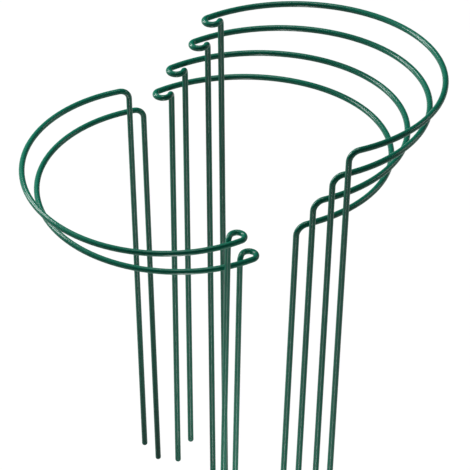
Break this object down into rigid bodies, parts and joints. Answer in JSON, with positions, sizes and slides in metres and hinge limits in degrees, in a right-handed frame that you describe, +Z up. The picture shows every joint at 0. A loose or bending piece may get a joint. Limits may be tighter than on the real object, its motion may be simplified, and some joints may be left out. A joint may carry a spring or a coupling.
{
  "type": "plant support ring stake",
  "caption": "Half-ring plant supports of green plastic-coated steel wire, stood in a row in the soil; each has a corner bend, a small hook eye and long straight legs with rounded caps.",
  "frame": {"origin": "where the corner leg of the lowest right-hand stake enters the soil, on that leg's axis", "axes": "+Z up out of the soil, +X to the right and +Y away as the set is seen from its front"},
  "size_m": [0.3521, 0.3689, 0.574],
  "materials": {
    "steel": "drawn wire, seen nowhere: the coat and caps cover it",
    "coat": "smooth glossy dark green plastic coat",
    "cap": "smooth glossy dark green plastic cap"
  },
  "bodies": {
    "right_1": {"right_1_steel_core": "steel", "right_1_green_coat": "coat", "right_1_corner_cap": "cap", "right_1_hook_cap": "cap"},
    "right_2": {"right_2_steel_core": "steel", "right_2_green_coat": "coat", "right_2_corner_cap": "cap", "right_2_hook_cap": "cap"},
    "right_3": {"right_3_steel_core": "steel", "right_3_green_coat": "coat", "right_3_corner_cap": "cap", "right_3_hook_cap": "cap"},
    "right_4": {"right_4_steel_core": "steel", "right_4_green_coat": "coat", "right_4_corner_cap": "cap", "right_4_hook_cap": "cap"},
    "left_1": {"left_1_steel_core": "steel", "left_1_green_coat": "coat", "left_1_corner_cap": "cap", "left_1_hook_cap": "cap"},
    "left_2": {"left_2_steel_core": "steel", "left_2_green_coat": "coat", "left_2_corner_cap": "cap", "left_2_hook_cap": "cap"}
  },
  "joints": [
    {"name": "right_2_pull_up", "type": "slide", "parent": "right_1", "child": "right_2", "axis": [0, 0, 1], "range_m": [0, 0.075]},
    {"name": "right_3_pull_up", "type": "slide", "parent": "right_2", "child": "right_3", "axis": [0, 0, 1], "range_m": [0, 0.145]},
    {"name": "right_4_pull_up", "type": "slide", "parent": "right_3", "child": "right_4", "axis": [0, 0, 1], "range_m": [0, 0.12]},
    {"name": "left_1_pull_up", "type": "slide", "parent": "right_1", "child": "left_1", "axis": [0.0096, -0.0645, 0.9979], "range_m": [0, 0.205]},
    {"name": "left_2_pull_up", "type": "slide", "parent": "left_1", "child": "left_2", "axis": [0.0096, -0.0645, 0.9979], "range_m": [0, 0.17]}
  ]
}
